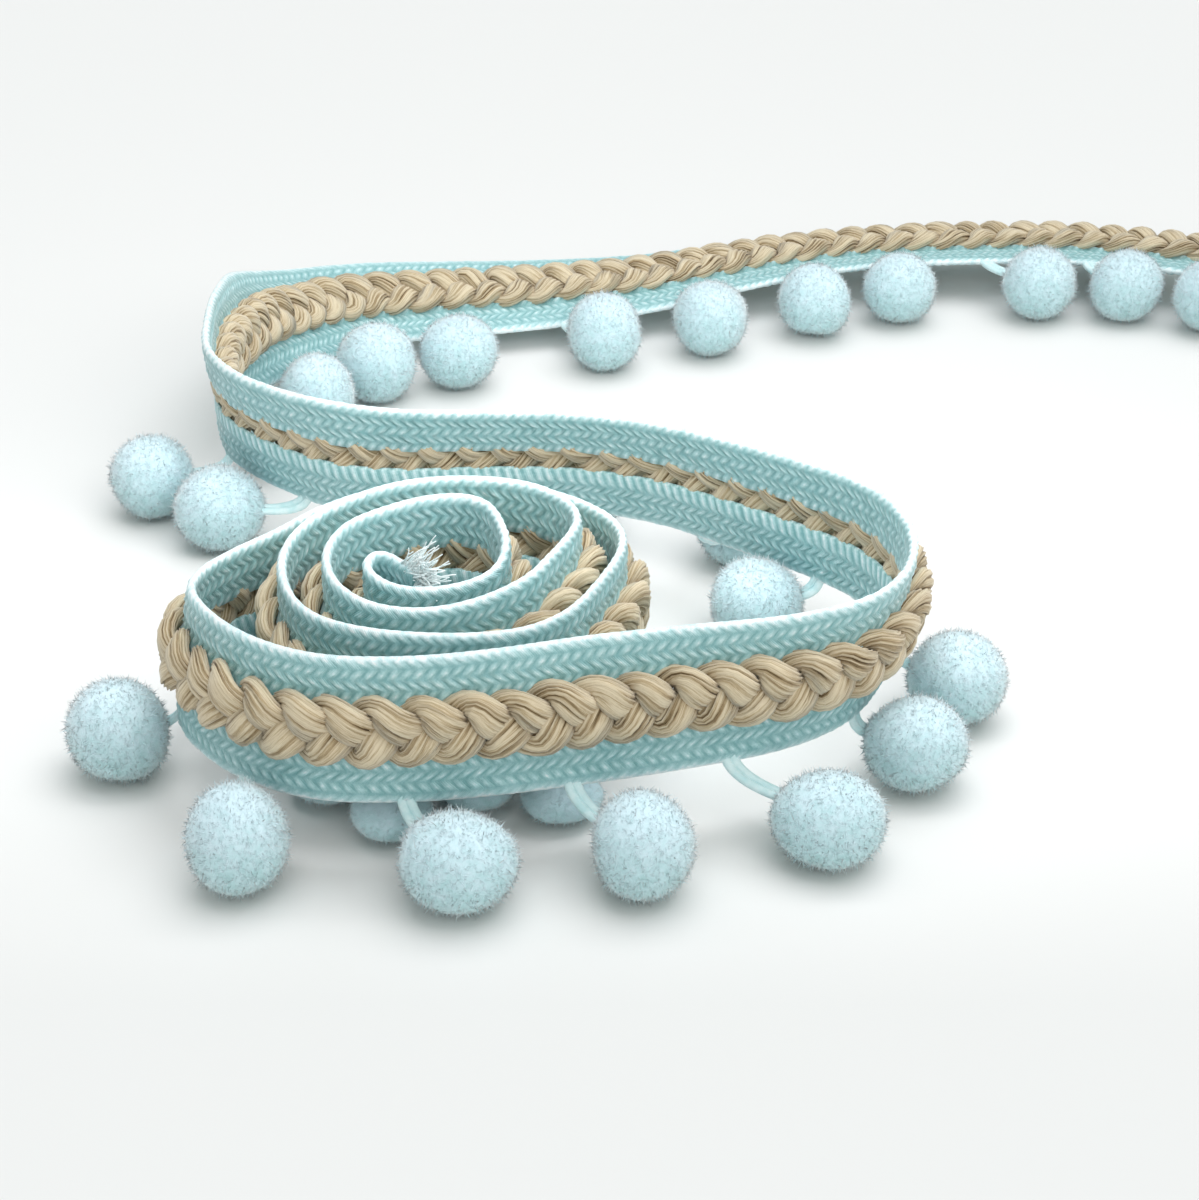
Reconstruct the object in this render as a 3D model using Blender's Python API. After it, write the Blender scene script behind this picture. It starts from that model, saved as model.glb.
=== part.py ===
"""Pompom fringe trim: two braided tapes joined by a cotton plait, with a row of pompoms.

The trim stands on its pompoms. It is wound loosely at one end, runs out along the front,
turns back round a wide bend, crosses behind the roll, bends again and lies over on its
back along the far side. Sizes are in millimetres until the meshes are made, in metres.
"""

import math

import bmesh
import bpy
import numpy as np
from mathutils import Vector

MM = 0.001

# The trim's own sizes
WIDTH = 16.0               # both tapes and the gap between them
UPPER_TAPE = 6.0
LOWER_TAPE = 6.1
TAPE_THICK = 1.2
SELVEDGE = 0.5             # the rounded edge of a tape
PLAIT_WIDTH = 7.6
PLAIT_RISE = 3.0           # from the tapes' middle to the crest of a strand
PLAIT_DIP = 2.0            # the same, where one strand goes under the next
STITCH = 4.2               # one strand of the plait to the next in the same row
PLAIT_NARROWS = 0.07       # how much of its width the rim draws in between two strands
SEAM = 0.52                # left between the plait and the tapes it is sewn to
POMPOM = 10.6
POMPOM_PITCH = 16.4
FIRST_POMPOM = 12.2        # from the cut end inside the roll
REACH = 8.5                # from the tape's edge to the middle of a pompom, seen from above
TAIL_WIDTH = 1.7
TAIL_INSET = 0.6           # where it leaves the ball, in from the edges of one of its faces
TAIL_GAP = 0.50            # below the tape's edge
KNEE_DROP = 1.8            # where a long tail bends over, below the edge and out from it
KNEE_OUT = 1.2
LONG_TAIL = 2.6            # a tail that reaches further than this to its knee has one
APART = 0.5                # between two pompoms

# How the trim lies, from the cut end inside the roll to the far end.
# x, y: the middle of its width, seen from above, from the middle of the roll.
# lift: its lower edge above the surface. lean: degrees, its top towards the back of the tapes.
ROUTE = (
    # name               x      y     lift  lean
    ("cut end",         -1.6,  -4.3,  7.5,   0),
    ("tail",            -3.0,  -2.9,  7.5,   0),
    ("tail bend",       -4.3,  -0.9,  7.5,   0),
    ("small fold",      -6.0,  -0.1,  7.5,   0),
    ("small fold side", -6.9,  -1.9,  7.5,   0),
    ("core left",       -6.3,  -4.6,  7.4,   0),
    ("core front left", -4.1,  -6.7,  7.0,   0),
    ("core front",      -0.6,  -7.3,  6.8,   0),
    ("core front right", 3.4,  -6.4,  7.0,   0),
    ("core corner",      6.6,  -4.4,  7.6,   0),
    ("core right",       7.6,  -1.2,  9.0,   0),
    ("core right back",  6.7,   2.8,  9.6,   0),
    ("tight bend",       5.2,   6.6,  9.8,   0),
    ("tight bend side",  2.4,   7.9,  9.8,   0),
    ("inner back",      -1.2,   7.3,  9.8,   0),
    ("inner back left", -5.6,   5.0,  9.6,   0),
    ("inner left back", -9.2,   1.9,  9.4,   0),
    ("inner left",     -10.8,  -2.8,  8.8,   0),
    ("inner left front", -9.4, -7.9,  8.0,   0),
    ("inner front left", -5.8, -11.2, 7.4,   0),
    ("inner front",     -0.6, -12.2,  7.2,   0),
    ("inner front right", 4.6, -11.0, 7.6,   0),
    ("inner right front", 9.8, -7.9,  8.6,   0),
    ("inner right",     12.2,  -3.5,  9.0,   0),
    ("middle right front", 14.4, 1.6, 9.2,   0),
    ("middle right",    14.7,   5.6,  9.0,   0),
    ("middle right back", 13.2, 9.0,  9.0,   0),
    ("middle back right", 9.4, 12.2,  9.0,   0),
    ("middle back",      2.6,  13.6,  9.0,   0),
    ("middle back left", -4.2, 12.3,  9.0,   0),
    ("middle left back", -10.0, 8.4,  8.8,   0),
    ("middle left upper", -14.0, 3.6, 8.3,   0),
    ("middle left",    -15.4,  -1.2,  7.8,   0),
    ("middle left front", -14.6, -6.8, 7.2,  0),
    ("outer front left", -11.8, -12.0, 6.9,  0),
    ("outer front side", -6.9, -15.3, 7.0,   0),
    ("outer front",     -0.8, -16.8,  7.1,   0),
    ("outer front middle", 4.8, -16.2, 6.7,  0),
    ("outer front right", 9.8, -14.3, 6.3,   0),
    ("outer right front", 13.8, -10.6, 6.2,  0),
    ("outer right side", 16.8, -4.6,  6.2,   0),
    ("outer right",     19.4,   3.6,  6.2,   0),
    ("outer right back", 18.9,  8.8,  6.0,   0),
    ("outer back right", 15.4, 14.0,  5.8,   0),
    ("outer back side",  9.0,  18.0,  5.8,   0),
    ("outer back",       1.0,  18.9,  5.8,   0),
    ("outer back middle", -6.8, 17.2, 5.8,   0),
    ("outer back left", -13.2, 12.8,  5.8,   2),
    ("roll to loop",   -17.6,   7.6,  5.8,   4),
    ("loop back",      -21.0,   3.6,  6.2,   6),
    ("loop side",      -24.2,  -0.6,  6.4,   8),
    ("loop left",      -25.4,  -5.4,  6.7,   8),
    ("loop front",     -23.6, -10.4,  6.8,   8),
    ("front left",     -18.2, -17.2,  7.0,   7),
    ("front side",     -10.8, -21.2,  7.0,   5),
    ("front",           -2.0, -21.8,  7.0,   4),
    ("front middle",     7.0, -20.4,  7.0,   5),
    ("front dip",       16.0, -18.0,  7.0,   7),
    ("front rise",      26.0, -15.6,  7.0,   4),
    ("front right",     36.0, -12.8,  7.0,  -2),
    ("right bend start", 43.0, -8.4,  7.0,  -8),
    ("right bend front", 46.8, -2.6,  7.0, -11),
    ("right bend",      48.7,   4.0,  7.0,  -8),
    ("right bend back", 48.6,  10.4,  7.0,  -1),
    ("right bend end",  45.8,  17.2,  7.0,   5),
    ("crossing start",  39.6,  23.4,  7.0,   9),
    ("crossing right",  31.4,  29.6,  7.0,  12),
    ("crossing turn",   23.1,  35.0,  7.0,  16),
    ("crossing",        14.0,  38.0,  7.0,  18),
    ("crossing middle",  4.0,  38.4,  7.0,  18),
    ("crossing left",   -6.0,  37.6,  7.0,  14),
    ("crossing end",   -13.6,  38.8,  7.0,  10),
    ("left bend start", -20.2, 43.1,  7.0,  12),
    ("left bend front", -25.6, 48.2,  7.0,  12),
    ("left bend side", -29.3,  54.2,  7.0,   8),
    ("left bend",      -30.6,  61.4,  7.0,   4),
    ("left bend back", -30.9,  69.0,  6.5,   5),
    ("falls over",     -29.8,  77.0,  5.5,  14),
    ("half over",      -27.6,  86.4,  4.5,  31),
    ("left bend end",  -23.4,  96.0,  3.5,  50),
    ("far left",       -16.3, 104.6,  3.0,  64),
    ("far start",       -6.0, 108.3,  3.0,  70),
    ("far",              5.2, 111.0,  3.0,  74),
    ("far middle",      14.7, 113.6,  3.3,  78),
    ("far turn",        24.1, 117.0,  3.8,  83),
    ("far slope",       33.7, 121.4,  4.5,  88),
    ("far slope end",   44.4, 126.0,  5.0,  92),
    ("far crest",       57.0, 128.9,  5.5,  94),
    ("far right",       71.8, 129.8,  5.8,  94),
    ("far right side",  87.9, 129.4,  5.8,  94),
    ("far end",        108.0, 124.0,  5.8,  94),
)

# Where the pompoms that swing off their straight line come to rest, by number from the roll.
LANDED = {
    # number: (x, y)
    16: (-33.0, -6.2),
    17: (-18.1, -26.8),
    18: (3.4, -29.8),
    19: (21.1, -27.7),
    20: (39.7, -21.8),
    21: (49.6, -8.4),
    22: (55.2, 4.5),
    23: (34.6, 21.6),
    27: (-28.8, 44.6),
    28: (-37.9, 53.0),
    29: (-23.2, 66.4),
    30: (-20.1, 77.3),
    31: (-12.9, 87.4),
    32: (-2.2, 91.3),
    33: (17.6, 97.6),
    34: (32.4, 102.5),
    35: (47.4, 109.3),
    36: (59.9, 114.1),
    37: (80.0, 115.4),
    38: (92.4, 114.8),
    39: (103.6, 110.8),
}
UNDER_ROLL = 15            # this many pompoms are trapped and pressed under the roll
PRESSED = 8.6              # how wide one of those is
CROWN_GAP = 1.7            # between its crown and the lowest edge above it
PRESSED_REACH = 1.0        # how far one would stand out from its root if it had room
PUSH_ROUNDS = 400          # how often crowded pompoms push each other apart
PULL_BACK = 0.02           # the share of its way back that one is drawn in each round

# Moves the whole trim so that the middle of its box is over the origin
BOX_MIDDLE = (33.5, 51.4)

# How finely the shapes are cut
TRACK_STEP = 0.5
TAPE_STEP = 6.3
TAPE_TURN = 9.0
PLAIT_TURN = 26.0
POMPOM_SIDES = 8
POMPOM_BANDS = 6
FOOT_STEP = 2.0            # along the trim, where the room above a pompom is measured
SLANT_LOST = 120.0         # a fold this tight, in degrees over two stitches, straightens the strands


# ---------------------------------------------------------------- the route

def spline(rows, cuts):
    """Catmull-Rom curve through the rows, spaced by the square root of their distances."""
    rows = np.vstack([2 * rows[0] - rows[1], rows, 2 * rows[-1] - rows[-2]])
    knots = [0.0]
    for before, after in zip(rows, rows[1:]):
        knots.append(knots[-1] + math.dist(before[:2], after[:2]) ** 0.5)
    points = []
    for i in range(1, len(rows) - 2):
        t0, t1, t2, t3 = knots[i - 1:i + 3]
        p0, p1, p2, p3 = rows[i - 1:i + 3]
        for t in np.linspace(t1, t2, cuts, endpoint=False):
            a1 = ((t1 - t) * p0 + (t - t0) * p1) / (t1 - t0)
            a2 = ((t2 - t) * p1 + (t - t1) * p2) / (t2 - t1)
            a3 = ((t3 - t) * p2 + (t - t2) * p3) / (t3 - t2)
            b1 = ((t2 - t) * a1 + (t - t0) * a2) / (t2 - t0)
            b2 = ((t3 - t) * a2 + (t - t1) * a3) / (t3 - t1)
            points.append(((t2 - t) * b1 + (t - t1) * b2) / (t2 - t1))
    points.append(rows[-2])
    return np.array(points)


def even(points, step):
    """The same curve with its points evenly spaced along x and y."""
    lengths = np.hypot(*np.diff(points[:, :2], axis=0).T)
    along = np.concatenate([[0.0], np.cumsum(lengths)])
    marks = np.linspace(0.0, along[-1], round(along[-1] / step) + 1)
    return marks, np.stack([np.interp(marks, along, column) for column in points.T], axis=1)


def make_track():
    """Distance along the trim, and x, y, lift and lean at each of those distances."""
    rows = np.array([row[1:] for row in ROUTE], dtype=float)
    points = even(spline(rows, cuts=12), 2 * TRACK_STEP)[1]
    for _ in range(4):
        points[1:-1] = points[1:-1] / 2 + (points[:-2] + points[2:]) / 4
    return even(points, TRACK_STEP)


ALONG, TRACK = make_track()
LENGTH = ALONG[-1]


def frame(along):
    """Middle of the width, the way up the trim, and the way out of its plaited face."""
    along = min(max(along, 0.0), LENGTH)
    x, y, lift, lean = (np.interp(along, ALONG, column) for column in TRACK.T)
    back, ahead = (
        [np.interp(along + shift, ALONG, TRACK[:, axis]) for axis in (0, 1)]
        for shift in (-TRACK_STEP, TRACK_STEP)
    )
    heading = Vector((ahead[0] - back[0], ahead[1] - back[1], 0.0)).normalized()
    face = Vector((heading.y, -heading.x, 0.0))
    rise = Vector((0.0, 0.0, 1.0))
    lean = math.radians(lean)
    up = rise * math.cos(lean) - face * math.sin(lean)
    out = face * math.cos(lean) + rise * math.sin(lean)
    middle = Vector((x, y, lift + WIDTH / 2 * math.cos(lean)))
    return middle, up, out


def place(along, across, out_by):
    """A point of the trim: along it, up from its lower edge, out from its tapes' middle."""
    middle, up, out = frame(along)
    return middle + up * (across - WIDTH / 2) + out * out_by


def turn(one, other):
    """Degrees that the trim's face turns through between two places along it."""
    return math.degrees(frame(one)[2].angle(frame(other)[2]))


def tape_marks():
    """Places along the trim, close together only where it bends."""
    marks = [0.0]
    for along in ALONG[1:]:
        if along - marks[-1] >= TAPE_STEP or turn(marks[-1], along) >= TAPE_TURN:
            marks.append(float(along))
    marks[-1] = LENGTH
    return marks


def plait_marks():
    """Every half stitch, and between those where a fold is tight."""
    count = round(LENGTH / (STITCH / 2))
    halves = [LENGTH * i / count for i in range(count + 1)]
    marks = [0.0]
    for start, end in zip(halves, halves[1:]):
        cuts = math.ceil(turn(start, end) / PLAIT_TURN) or 1
        marks += [start + (end - start) * (i + 1) / cuts for i in range(cuts)]
    return marks


# ---------------------------------------------------------------- solids

def material(name, colour, roughness):
    made = bpy.data.materials.new(name)
    made.use_nodes = True
    made.diffuse_color = (*colour, 1.0)
    shader = made.node_tree.nodes["Principled BSDF"]
    shader.inputs["Base Color"].default_value = (*colour, 1.0)
    shader.inputs["Roughness"].default_value = roughness
    shader.inputs["Metallic"].default_value = 0.0
    return made


def to_frame(point):
    """Millimetres from the middle of the roll to metres in the part's frame."""
    return Vector((point.x - BOX_MIDDLE[0], point.y - BOX_MIDDLE[1], point.z)) * MM


def add_object(name, bm, look):
    bmesh.ops.recalc_face_normals(bm, faces=bm.faces)
    mesh = bpy.data.meshes.new(name)
    bm.to_mesh(mesh)
    bm.free()
    mesh.materials.append(look)
    mesh.shade_smooth()
    mesh.set_sharp_from_angle(angle=math.radians(50))
    made = bpy.data.objects.new(name, mesh)
    bpy.context.scene.collection.objects.link(made)
    return made


def sweep(name, rings, look):
    """A solid that is extruded from ring to ring, closed at both ends."""
    bm = bmesh.new()
    start = [bm.verts.new(to_frame(point)) for point in rings[0]]
    face = bm.faces.new(start)
    for ring in rings[1:]:
        face = bmesh.ops.extrude_discrete_faces(bm, faces=[face])["faces"][0]
        for vertex, point in zip(face.verts, ring):
            vertex.co = to_frame(point)
    bm.faces.new(start)
    return add_object(name, bm, look)


def add_tape(name, low, high, look):
    """A flat braid between two heights on the trim, with rounded selvedges."""
    half = TAPE_THICK / 2
    section = (
        (low, 0.0),
        (low + SELVEDGE, half),
        (high - SELVEDGE, half),
        (high, 0.0),
        (high - SELVEDGE, -half),
        (low + SELVEDGE, -half),
    )
    rings = [[place(mark, across, out) for across, out in section] for mark in tape_marks()]
    return sweep(name, rings, look)


def plait_ring(mark):
    """The plait's section: two rows of strands, their outer ends drawn half a stitch back."""
    middle = (LOWER_TAPE + WIDTH - UPPER_TAPE) / 2
    neck = (WIDTH - UPPER_TAPE - LOWER_TAPE) / 2 - SEAM
    half = TAPE_THICK / 2
    slant = STITCH / 2 * max(0.0, 1.0 - turn(mark - STITCH, mark + STITCH) / SLANT_LOST)
    ring = []
    for side in (1, -1):
        beat = 0.5 + 0.5 * math.cos(2 * math.pi * mark / STITCH + (0.0 if side > 0 else math.pi))
        rim = PLAIT_WIDTH / 2 * (1.0 - PLAIT_NARROWS * (1.0 - beat))
        crest = PLAIT_DIP + (PLAIT_RISE - PLAIT_DIP) * beat
        points = [
            (mark, side * neck, -half),
            (mark, side * neck, half + SEAM),
            (mark - slant, side * rim, half + SEAM),
            (mark - slant / 2, side * rim * 0.6, crest),
        ]
        ring += points if side > 0 else points[::-1]
    ring.insert(4, (mark, 0.0, PLAIT_DIP))
    return [place(along, middle + across, out) for along, across, out in ring]


def add_plait(name, look):
    return sweep(name, [plait_ring(mark) for mark in plait_marks()], look)


# ---------------------------------------------------------------- pompoms

def edge(along, below=0.0):
    return place(along, -below, 0.0)


def pompom_roots():
    count = int((LENGTH - FIRST_POMPOM) / POMPOM_PITCH) + 1
    return [FIRST_POMPOM + POMPOM_PITCH * i for i in range(count)]


def land_pompoms():
    """Where each pompom rests, its width and height, pushed apart where they are crowded."""
    spots = []
    for number, root in enumerate(pompom_roots(), start=1):
        foot = edge(root)
        out = frame(root)[2]
        out = Vector((out.x, out.y)).normalized()
        under = number <= UNDER_ROLL
        aim = foot.xy + out * (PRESSED_REACH if under else REACH)
        aim = Vector(LANDED.get(number, aim))
        spots.append((aim, aim.copy(), PRESSED if under else POMPOM, under))
    for _ in range(PUSH_ROUNDS):
        for i, (_, one, one_width, one_moves) in enumerate(spots):
            for _, other, other_width, other_moves in spots[:i]:
                apart = one - other
                lack = (one_width + other_width) / 2 + APART - apart.length
                if lack > 0 and (one_moves or other_moves):
                    push = apart.normalized() * lack / (one_moves + other_moves)
                    one += push * one_moves
                    other -= push * other_moves
        for aim, spot, _, moves in spots:
            spot += (aim - spot) * PULL_BACK * moves
    return [
        (spot, width, headroom(spot, width) if under else POMPOM)
        for _, spot, width, under in spots
    ]


def headroom(spot, width):
    """Height under the lowest edge of the trim that passes over a pompom."""
    feet = [edge(along) for along in np.arange(0.0, LENGTH, FOOT_STEP)]
    over = [foot.z for foot in feet if (foot.xy - spot).length < (width + FOOT_STEP) / 2]
    return min(over) - CROWN_GAP


def draw_out(bm, face, centre, way):
    """Extrudes a face to a new centre, turned that way and drawn in to the tail's width."""
    start = face.calc_center_median()
    swing = face.normal.rotation_difference(way)
    size = max((vertex.co - start).length for vertex in face.verts)
    end = bmesh.ops.extrude_discrete_faces(bm, faces=[face])["faces"][0]
    for vertex in end.verts:
        vertex.co = centre + swing @ (vertex.co - start) * (TAIL_WIDTH / 2 / size)
    end.normal_update()
    return end


def add_pompom(name, root, spot, width, height, look):
    """A ball with a flat foot, and its tail drawn out of one face up to the tape's edge."""
    bm = bmesh.new()
    bmesh.ops.create_uvsphere(bm, u_segments=POMPOM_SIDES, v_segments=POMPOM_BANDS, radius=0.5)
    foot_level = -0.5 * math.cos(math.pi / POMPOM_BANDS)
    for vertex in bm.verts:
        level = max(vertex.co.z, foot_level) - foot_level
        vertex.co = Vector((
            spot.x + vertex.co.x * width,
            spot.y + vertex.co.y * width,
            level * height / (0.5 - foot_level),
        ))
    top = edge(root, below=TAIL_GAP)
    _, up, out = frame(root)
    side = math.copysign(1.0, (spot - top.xy).dot(out.xy))
    knee = place(root, -KNEE_DROP, side * KNEE_OUT)
    bm.faces.ensure_lookup_table()
    quads = [face for face in bm.faces if len(face.verts) == 4]
    tail = min(quads, key=lambda face: (face.calc_center_median() - top).length)
    bmesh.ops.inset_individual(bm, faces=[tail], thickness=TAIL_INSET)
    to_knee = knee - tail.calc_center_median()
    if height == POMPOM and to_knee.length > LONG_TAIL:
        tail = draw_out(bm, tail, knee, to_knee + (top - knee))
    draw_out(bm, tail, top, up)
    for vertex in bm.verts:
        vertex.co = to_frame(vertex.co)
    return add_object(name, bm, look)


# ---------------------------------------------------------------- the trim

for leftover in list(bpy.data.objects):
    bpy.data.objects.remove(leftover)

aqua = material("aqua_tape", (0.40, 0.70, 0.69), 0.55)
cotton = material("natural_cotton", (0.61, 0.49, 0.33), 0.85)
fluff = material("aqua_pompom", (0.45, 0.76, 0.76), 0.95)

add_tape("tape_upper", WIDTH - UPPER_TAPE, WIDTH, aqua)
add_tape("tape_lower", 0.0, LOWER_TAPE, aqua)
add_plait("plait", cotton)
for number, (root, landed) in enumerate(zip(pompom_roots(), land_pompoms()), start=1):
    add_pompom(f"pompom_{number:02d}", root, *landed, fluff)
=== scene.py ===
# %% [markdown]
# # A pompom fringe trim, loosely rolled at one end
#
# The real thing is a narrow trim for sewing on. Two flat braids of shiny aqua yarn lie side by side,
# a thick plait of undyed cotton is sewn over the gap between them, and small pompoms hang from the
# lower braid's edge on short tails. It stands on its pompoms, wound up loosely at one end.
#
# The solids already hold the main shapes. This script gives each of them the finish of its yarn:
# the stitches of the braids, the plies of the plait, and the pile of the pompoms.

# %% Loading the frame
import math

import bmesh
import bpy
import numpy as np
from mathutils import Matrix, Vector


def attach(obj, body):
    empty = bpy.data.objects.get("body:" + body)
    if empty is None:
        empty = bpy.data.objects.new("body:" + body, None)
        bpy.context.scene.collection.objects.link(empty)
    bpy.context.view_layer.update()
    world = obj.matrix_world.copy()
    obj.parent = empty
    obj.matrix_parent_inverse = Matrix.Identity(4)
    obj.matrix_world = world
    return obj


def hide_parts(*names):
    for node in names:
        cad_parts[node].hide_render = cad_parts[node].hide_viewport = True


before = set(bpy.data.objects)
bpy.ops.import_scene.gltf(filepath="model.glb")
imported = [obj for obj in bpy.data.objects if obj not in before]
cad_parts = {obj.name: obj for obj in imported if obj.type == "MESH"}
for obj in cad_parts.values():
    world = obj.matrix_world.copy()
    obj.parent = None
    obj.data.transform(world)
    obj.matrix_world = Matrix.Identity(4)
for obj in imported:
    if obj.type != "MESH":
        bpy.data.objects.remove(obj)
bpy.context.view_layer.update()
MM = 0.001

# %% [markdown]
# ## The camera comes first
#
# Every detail below is made as fine as this view can show, so the camera is set before the pieces.
# It looks down at 29 degrees from in front, through a long lens, which suits a small thing on a table.

# %% The camera
CAMERA_PLACE = (-16.5, -294.9, 152.3)  # mm
CAMERA_DOWN = 29.0                     # degrees below the horizon
CAMERA_LENS = 80.64                    # mm
CAMERA_SENSOR = 36.0                   # mm
CLIP_START = 0.01                      # m

eye = bpy.data.cameras.new("camera")
eye.lens = CAMERA_LENS
eye.sensor_width = CAMERA_SENSOR
eye.clip_start = CLIP_START
camera = bpy.data.objects.new("camera", eye)
camera.location = Vector(CAMERA_PLACE) * MM
camera.rotation_euler = (math.radians(90.0 - CAMERA_DOWN), 0.0, 0.0)
bpy.context.scene.collection.objects.link(camera)
bpy.context.scene.camera = camera
print("camera at", tuple(round(v, 4) for v in camera.location))

# %% [markdown]
# ## The floor and the light
#
# A trim like this is shown on a white table under a large bright skylight. Everything that faces up is
# then bright, what faces us is a little darker, which shows the stitches, and the shadows stay soft
# and short. Two sun lamps with wide discs do this evenly all over the table: one overhead and a weak
# one in front for the room. A white world lifts the rest.

# %% Lights and world
WORLD_STRENGTH = 0.53
VIEW_TRANSFORM = "Standard"  # keeps the whites white


def hex_colour(code):
    """An sRGB hex value as the linear colour that Blender's sockets want."""
    parts = [int(code[i:i + 2], 16) / 255 for i in (1, 3, 5)]
    linear = [c / 12.92 if c <= 0.04045 else ((c + 0.055) / 1.055) ** 2.4 for c in parts]
    return (*linear, 1.0)


def add_light(name, coming_from, spread, strength, colour):
    """A wide, even light: where it comes from, how wide its disc is in degrees, and its power."""
    lamp = bpy.data.lights.new(name, "SUN")
    lamp.angle = math.radians(spread)
    lamp.energy = strength
    lamp.color = hex_colour(colour)[:3]
    made = bpy.data.objects.new(name, lamp)
    made.rotation_euler = Vector(coming_from).to_track_quat("Z", "Y").to_euler()
    bpy.context.scene.collection.objects.link(made)
    return made


add_light("skylight", (0.16, 0.10, 1.0), 60.0, 1.65, "#F6FBFF")
add_light("room", (0.5, -1.0, 0.7), 80.0, 0.95, "#FFFAF4")

world = bpy.data.worlds.new("white_room")
bpy.context.scene.world = world
world.use_nodes = True
sky = world.node_tree.nodes["Background"]
sky.inputs["Color"].default_value = hex_colour("#F4FBF9")
sky.inputs["Strength"].default_value = WORLD_STRENGTH
bpy.context.scene.view_settings.view_transform = VIEW_TRANSFORM

# %% [markdown]
# The roll keeps the light off what lies behind it. In a studio a white card would be held over the
# roll, to throw light back into the bend. Here it is a small lamp that the camera doesn't see.

# %% White card
CARD_PLACE = (-14.0, -50.0, 72.0)  # mm, over the roll
CARD_SIZE = (110.0, 40.0)          # mm
CARD_TILT = 57.0                   # degrees from facing straight down, away from us
CARD_POWER = 0.050                 # W

card = bpy.data.lights.new("white_card", "AREA")
card.shape = "RECTANGLE"
card.size, card.size_y = (side * MM for side in CARD_SIZE)
card.energy = CARD_POWER
reflector = bpy.data.objects.new("white_card", card)
reflector.location = Vector(CARD_PLACE) * MM
reflector.rotation_euler = (math.radians(CARD_TILT), 0.0, 0.0)
reflector.visible_camera = False
bpy.context.scene.collection.objects.link(reflector)

# %% [markdown]
# ## A helper for materials
#
# Yarn, cotton and pile are all made from the same few nodes, so one small function adds a node with
# its settings and its links, and another starts a material from its Principled shader.

# %% Node helpers
def add_node(tree, kind, settings=None, links=None, values=None):
    """One node: its settings, what is linked into its sockets, and the values on the others."""
    node = tree.nodes.new(kind)
    for key, value in (settings or {}).items():
        setattr(node, key, value)
    for key, value in (values or {}).items():
        node.inputs[key].default_value = value
    for key, source in (links or {}).items():
        tree.links.new(source, node.inputs[key])
    return node


def start_material(name, **shader_values):
    """A material and its Principled shader, with the values that are the same all over."""
    made = bpy.data.materials.new(name)
    made.use_nodes = True
    shader = made.node_tree.nodes["Principled BSDF"]
    for key, value in shader_values.items():
        shader.inputs[key.replace("_", " ")].default_value = value
    return made, made.node_tree, shader


def colour_steps(node, *steps):
    """Sets a colour ramp to the given (position, hex) steps."""
    ramp = node.color_ramp
    while len(ramp.elements) < len(steps):
        ramp.elements.new(0.5)
    for element, (position, code) in zip(ramp.elements, steps):
        element.position = position
        element.color = hex_colour(code)


# %% [markdown]
# ## The table
#
# A plain matt white board. It stays a little below white, so that the light on it doesn't burn out
# and the soft shadows of the pompoms still show.

# %% Table
FLOOR_SIZE = 6.0   # m
FLOOR_DROP = 0.05  # mm below the feet of the pompoms

floor_paint, tree, shader = start_material("matt_white_table", Roughness=0.75)
shader.inputs["Base Color"].default_value = hex_colour("#E7E5E4")
shader.inputs["Specular IOR Level"].default_value = 0.2

bm = bmesh.new()
bmesh.ops.create_grid(bm, x_segments=1, y_segments=1, size=FLOOR_SIZE / 2)
bmesh.ops.translate(bm, verts=bm.verts, vec=(0.0, 0.0, -FLOOR_DROP * MM))
mesh = bpy.data.meshes.new("table")
bm.to_mesh(mesh)
bm.free()
mesh.materials.append(floor_paint)
table = bpy.data.objects.new("table", mesh)
bpy.context.scene.collection.objects.link(table)
print("table:", FLOOR_SIZE, "m wide")

# %% [markdown]
# ## How the trim lies
#
# Cloth that is wound and bent keeps one thing fixed: its own length and width. So each piece below is
# worked out flat, as a place along the trim, a height across it and a distance out of its face, and
# only then laid along this route. The table gives the route from the cut end inside the roll to the
# far end: the middle of the trim's width seen from above, how high its lower edge is off the table,
# and how far it leans.

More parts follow.
